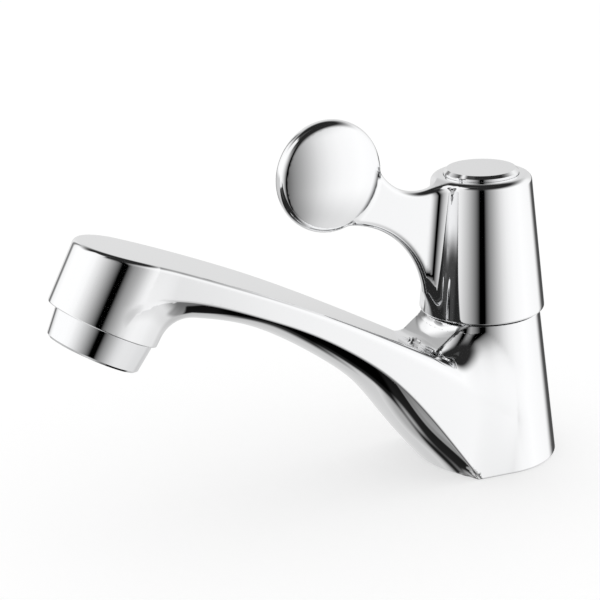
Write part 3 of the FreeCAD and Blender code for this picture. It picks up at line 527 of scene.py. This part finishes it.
def skin(node, field, kept, name, body, slot):
    """The visible piece that takes a casting's place, smooth by the field's own normals."""
    points, tris, inner = refined(node, field, kept)
    mesh = bpy.data.meshes.new(name)
    mesh.from_pydata((points * MM).tolist(), [], tris.tolist())
    mesh.validate()
    mesh.update()
    normal = np.zeros_like(points)
    normal[~inner] = unit(gradient(field, points[~inner]))
    faces = np.array([f.vertices[:] for f in mesh.polygons])
    face_n = np.array([f.normal[:] for f in mesh.polygons])
    wide = np.array([f.area for f in mesh.polygons])[:, None]
    smooth = np.zeros_like(points)
    for k in range(3):
        np.add.at(smooth, faces[:, k], face_n * wide)
    smooth = unit(smooth)
    corner = np.where(inner[faces][..., None], smooth[faces], normal[faces])
    off = (corner * face_n[:, None]).sum(-1) < FACE_TURN
    corner = np.where(off[..., None], face_n[:, None], corner)
    mesh.shade_smooth()
    mesh.normals_split_custom_set(corner.reshape(-1, 3).tolist())
    obj = bpy.data.objects.new(name, mesh)
    bpy.context.scene.collection.objects.link(obj)
    mesh.materials.append(MATERIALS[slot])
    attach(obj, body)
    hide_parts(node)


class Tree:
    """A small helper that builds a node tree. Keywords name a socket or else a property."""

    def __init__(self, owner):
        owner.use_nodes = True
        self.tree = owner.node_tree
        self.tree.nodes.clear()

    def add(self, kind, **values):
        node = self.tree.nodes.new(kind)
        for key, value in values.items():
            if key in node.inputs:
                node.inputs[key].default_value = value
            else:
                setattr(node, key, value)
        return node

    def link(self, source, target):
        self.tree.links.new(source, target)

    def math(self, operation, *values):
        """The result of a math node on sockets or numbers."""
        node = self.add("ShaderNodeMath", operation=operation)
        for place, value in enumerate(values):
            if isinstance(value, (int, float)):
                node.inputs[place].default_value = value
            else:
                self.link(value, node.inputs[place])
        return node.outputs[0]

    def ease(self, value, start, end):
        """Nothing at start, one at end, with a soft run between."""
        node = self.add("ShaderNodeMapRange", interpolation_type="SMOOTHSTEP")
        self.link(value, node.inputs["Value"])
        low, high = min(start, end), max(start, end)
        node.inputs["From Min"].default_value = low
        node.inputs["From Max"].default_value = high
        node.inputs["To Min"].default_value = 0.0 if start < end else 1.0
        node.inputs["To Max"].default_value = 1.0 if start < end else 0.0
        return node.outputs["Result"]


# The part of a noise that carries its clouds, the clouds of polished and of other surfaces with the
# shares of their roughness that they reach, and how strongly a grain shows
NOISE_LOW, NOISE_HIGH = 0.3, 0.7
POLISH_SCALE, POLISH_DETAIL, POLISH_SHARES = 90.0, 3.0, (0.7, 1.4)
STUFF_DETAIL, STUFF_SHARES, GRAIN_STRENGTH = 4.0, (0.8, 1.25), 0.3


def cloudy(t, noise, value, shares):
    """A value that a noise carries from one share of it to the other."""
    spread = t.add("ShaderNodeMapRange")
    low, high = value * shares[0], value * shares[1]
    sockets = {"From Min": NOISE_LOW, "From Max": NOISE_HIGH, "To Min": low, "To Max": high}
    for socket, end in sockets.items():
        spread.inputs[socket].default_value = end
    t.link(noise.outputs["Fac"], spread.inputs["Value"])
    return spread.outputs["Result"]


def chrome(name, tint=(0.915, 0.918, 0.925), rough=0.03):
    """Bright chrome plate: a mirror with faint cloudy polish."""
    mat = bpy.data.materials.new(name)
    t = Tree(mat)
    out = t.add("ShaderNodeOutputMaterial")
    shader = t.add("ShaderNodeBsdfPrincipled", Metallic=1.0)
    shader.inputs["Base Color"].default_value = (*tint, 1.0)
    place = t.add("ShaderNodeTexCoord")
    noise = t.add("ShaderNodeTexNoise", Scale=POLISH_SCALE, Detail=POLISH_DETAIL)
    t.link(place.outputs["Object"], noise.inputs["Vector"])
    t.link(cloudy(t, noise, rough, POLISH_SHARES), shader.inputs["Roughness"])
    t.link(shader.outputs["BSDF"], out.inputs["Surface"])
    return mat


def stuff(name, low, high, rough, scale, metallic=0.0, stretch=(1.0, 1.0, 1.0), grain=0.0):
    """A material whose colour runs between two tones, with its roughness and grain after the same noise."""
    mat = bpy.data.materials.new(name)
    t = Tree(mat)
    out = t.add("ShaderNodeOutputMaterial")
    shader = t.add("ShaderNodeBsdfPrincipled", Metallic=metallic)
    place = t.add("ShaderNodeTexCoord")
    drawn = t.add("ShaderNodeMapping", Scale=stretch)
    noise = t.add("ShaderNodeTexNoise", Scale=scale, Detail=STUFF_DETAIL)
    t.link(place.outputs["Object"], drawn.inputs["Vector"])
    t.link(drawn.outputs["Vector"], noise.inputs["Vector"])
    tone = t.add("ShaderNodeValToRGB")
    for element, position, colour in zip(tone.color_ramp.elements, (NOISE_LOW, NOISE_HIGH), (low, high)):
        element.position = position
        element.color = (*colour, 1.0)
    t.link(noise.outputs["Fac"], tone.inputs["Fac"])
    t.link(tone.outputs["Color"], shader.inputs["Base Color"])
    t.link(cloudy(t, noise, rough, STUFF_SHARES), shader.inputs["Roughness"])
    if grain:
        bump = t.add("ShaderNodeBump", Strength=GRAIN_STRENGTH, Distance=grain)
        t.link(noise.outputs["Fac"], bump.inputs["Height"])
        t.link(bump.outputs["Normal"], shader.inputs["Normal"])
    t.link(shader.outputs["BSDF"], out.inputs["Surface"])
    return mat


# One material for each slot of the part. Turned metal has fine rings, so its noise is drawn out around z,
# and pressed fibre lies in flat layers.
TURNED, PRESSED = (0.15, 0.15, 6.0), (1.0, 1.0, 5.0)
MATERIALS = {
    "chrome_body": chrome("chrome_body"),
    "chrome_handle": chrome("chrome_handle"),
    "chrome_button": chrome("chrome_button", (0.9, 0.903, 0.91), 0.05),
    "chrome_ring": chrome("chrome_ring", (0.9, 0.905, 0.915), 0.04),
    "brass": stuff("brass", (0.66, 0.44, 0.17), (0.78, 0.56, 0.26), 0.26, 260.0, 1.0, TURNED, 2e-5),
    "spring_steel": stuff("spring_steel", (0.30, 0.31, 0.33), (0.42, 0.42, 0.44), 0.3, 500.0, 1.0),
    "steel_screw": stuff("steel_screw", (0.48, 0.47, 0.46), (0.6, 0.59, 0.57), 0.24, 300.0, 1.0,
                         TURNED, 1e-5),
    "mesh_steel": stuff("mesh_steel", (0.5, 0.5, 0.5), (0.62, 0.62, 0.61), 0.32, 900.0, 1.0),
    "seal_rubber": stuff("seal_rubber", (0.012, 0.012, 0.013), (0.026, 0.026, 0.028), 0.55, 400.0,
                         grain=2e-5),
    "fibre": stuff("fibre", (0.30, 0.07, 0.04), (0.46, 0.16, 0.10), 0.8, 350.0, 0.0, PRESSED, 6e-5),
    "slip_plastic": stuff("slip_plastic", (0.72, 0.72, 0.68), (0.8, 0.8, 0.76), 0.3, 120.0),
    "insert_plastic": stuff("insert_plastic", (0.07, 0.075, 0.08), (0.11, 0.115, 0.12), 0.42, 200.0,
                            grain=1e-5),
    "former_plastic": stuff("former_plastic", (0.56, 0.58, 0.6), (0.66, 0.68, 0.7), 0.38, 150.0),
    "ceramic_white": stuff("ceramic_white", (0.78, 0.77, 0.73), (0.85, 0.84, 0.81), 0.16, 700.0),
    "ceramic_grey": stuff("ceramic_grey", (0.26, 0.24, 0.23), (0.36, 0.34, 0.32), 0.14, 700.0),
}
for node in NODES.values():
    for slot in node.material_slots:
        slot.material = MATERIALS[slot.material.name]


FLOOR_R, FLOOR_SIDES = 6.0, 96
FLOOR_PALE, FLOOR_LIFT = (0.55, 0.55, 0.55, 1.0), (0.47, 0.47, 0.47, 1.0)


def make_floor():
    """A pale round floor that keeps the shadow. For the camera it is lifted to the white of the backdrop,
    and the metal sees the studio's own floor instead of it."""
    mesh = bpy.data.meshes.new("floor")
    bm = bmesh.new()
    bmesh.ops.create_circle(bm, cap_ends=True, radius=FLOOR_R, segments=FLOOR_SIDES)
    bm.to_mesh(mesh)
    bm.free()
    obj = bpy.data.objects.new("floor", mesh)
    bpy.context.scene.collection.objects.link(obj)
    mat = bpy.data.materials.new("floor_pale")
    t = Tree(mat)
    out = t.add("ShaderNodeOutputMaterial")
    base = t.add("ShaderNodeBsdfDiffuse", Color=FLOOR_PALE)
    lift = t.add("ShaderNodeEmission", Color=FLOOR_LIFT)
    path = t.add("ShaderNodeLightPath")
    both = t.add("ShaderNodeAddShader")
    seen = t.add("ShaderNodeMixShader")
    t.link(base.outputs[0], both.inputs[0])
    t.link(lift.outputs[0], both.inputs[1])
    t.link(path.outputs["Is Camera Ray"], seen.inputs[0])
    t.link(base.outputs[0], seen.inputs[1])
    t.link(both.outputs[0], seen.inputs[2])
    t.link(seen.outputs[0], out.inputs["Surface"])
    mesh.materials.append(mat)
    obj.visible_glossy = False


# The studio as the metal sees it. First the white walls, as compass direction in degrees and level, with
# the dark gap behind the camera, its grey approach on one side and the greyer wall behind the tap.
WALLS = [(0, 0.8), (15, 0.73), (40, 0.68), (60, 0.72), (75, 0.92), (105, 0.97), (125, 1.0), (148, 0.94),
         (160, 0.86), (171, 0.72), (180, 0.55), (188, 0.4), (196, 0.26), (203, 0.1), (206, 0.0), (216, 0.0),
         (225, 0.2), (240, 0.5), (255, 0.76), (270, 0.95), (285, 1.0), (325, 1.0), (345, 0.88)]

# Then the zones that darken them: how much, the compass direction with its half width and softness (None is
# all round), and the elevations over which a zone comes in.
LOW_ZONES = [
    # the dim low zone to the right of the backdrop
    (0.9, (58.0, 7.0, 22.0), [(-32.0, -22.0), (-2.0, -9.0)]),
    # the dark upright left of the backdrop, seen as a thin line along left edges
    (0.75, (352.0, 2.0, 9.0), [(-30.0, -22.0), (40.0, 28.0)]),
    # the floor, greyer to the left rear, downwards and to the right rear
    (0.4, (322.0, 26.0, 14.0), [(2.0, -8.0)]),
    (0.25, None, [(-20.0, -50.0)]),
    (0.5, (50.0, 34.0, 20.0), [(-52.0, -60.0)])]
# the dark strip on the floor, mirrored by the spout's underside
STRIP_ZONES = [
    (0.97, (9.0, 26.0, 10.0), [(-55.0, -59.0)]),
    (0.96, (340.0, 31.0, 6.0), [(-60.0, -64.0)]),
    (0.95, (14.5, 2.5, 5.0), [(-47.0, -54.0)])]
# what the floor and the ceiling go to, and the elevations between which they do
FLOOR_GREY, FLOOR_GREY_AT = 0.15, (-55.0, -80.0)
CEILING_DARK, CEILING_AT = 0.02, (22.0, 55.0)
# the window on the left that keeps a part of the ceiling bright
WINDOW, WINDOW_AT, WINDOW_LEAST, WINDOW_MORE = (282.0, 20.0, 14.0), (64.0, 57.0), 0.04, 0.9
METAL_LIGHT = 1.09


def make_world():
    """White light for the floor and the camera's backdrop, and the studio for all that metal mirrors."""
    world = bpy.data.worlds.new("studio")
    bpy.context.scene.world = world
    t = Tree(world)
    out = t.add("ShaderNodeOutputWorld")
    sky = t.add("ShaderNodeBackground")
    place = t.add("ShaderNodeTexCoord")
    parts = t.add("ShaderNodeSeparateXYZ")
    t.link(place.outputs["Generated"], parts.inputs[0])
    turn = t.math("MULTIPLY", t.math("ARCTAN2", parts.outputs["X"], parts.outputs["Y"]), math.degrees(1))
    rise = t.math("MULTIPLY", t.math("ARCSINE", parts.outputs["Z"]), math.degrees(1))

    def side(centre, half, soft):
        """One within half of a compass direction, falling to nothing over soft degrees."""
        off = t.math("ABSOLUTE", t.math("WRAP", t.math("SUBTRACT", turn, centre), 180.0, -180.0))
        return t.ease(off, half + soft, half)

    def times(*factors):
        value = factors[0]
        for factor in factors[1:]:
            value = t.math("MULTIPLY", value, factor)
        return value

    def darken(level, zones):
        for depth, around, rises in zones:
            masks = [side(*around)] if around else []
            masks += [t.ease(rise, *ends) for ends in rises]
            level = times(level, t.math("SUBTRACT", 1.0, times(*masks, depth)))
        return level

    def towards(level, goal, mask):
        return t.math("ADD", level, times(mask, t.math("SUBTRACT", goal, level)))

    bar = t.add("ShaderNodeValToRGB")
    while len(bar.color_ramp.elements) < len(WALLS):
        bar.color_ramp.elements.new(0.999)
    for element, (angle, level) in zip(bar.color_ramp.elements, WALLS):
        element.position = angle / 360
        element.color = (level, level, level, 1.0)
    t.link(t.math("WRAP", t.math("DIVIDE", turn, 360.0), 1.0, 0.0), bar.inputs["Fac"])
    level = darken(bar.outputs["Color"], LOW_ZONES)
    level = towards(level, FLOOR_GREY, t.ease(rise, *FLOOR_GREY_AT))
    level = darken(level, STRIP_ZONES)
    window = t.math("ADD", WINDOW_LEAST, times(t.ease(rise, *WINDOW_AT), WINDOW_MORE))
    ceiling = times(t.ease(rise, *CEILING_AT), t.math("SUBTRACT", 1.0, times(side(*WINDOW), window)))
    level = towards(level, CEILING_DARK, ceiling)
    path = t.add("ShaderNodeLightPath")
    metal = times(path.outputs["Is Glossy Ray"], t.math("SUBTRACT", times(level, METAL_LIGHT), 1.0))
    t.link(t.math("ADD", 1.0, metal), sky.inputs["Strength"])
    sky.inputs["Color"].default_value = (1.0, 1.0, 1.0, 1.0)
    t.link(sky.outputs[0], out.inputs["Surface"])


skin("body_casting", body_field, in_bores, "spout_body", "tap_body", "chrome_body")
skin("handle_casting", handle_field, in_sleeve, "lever", "handle", "chrome_handle")
make_camera()
make_floor()
make_world()

bpy.context.scene.view_settings.view_transform = "Standard"
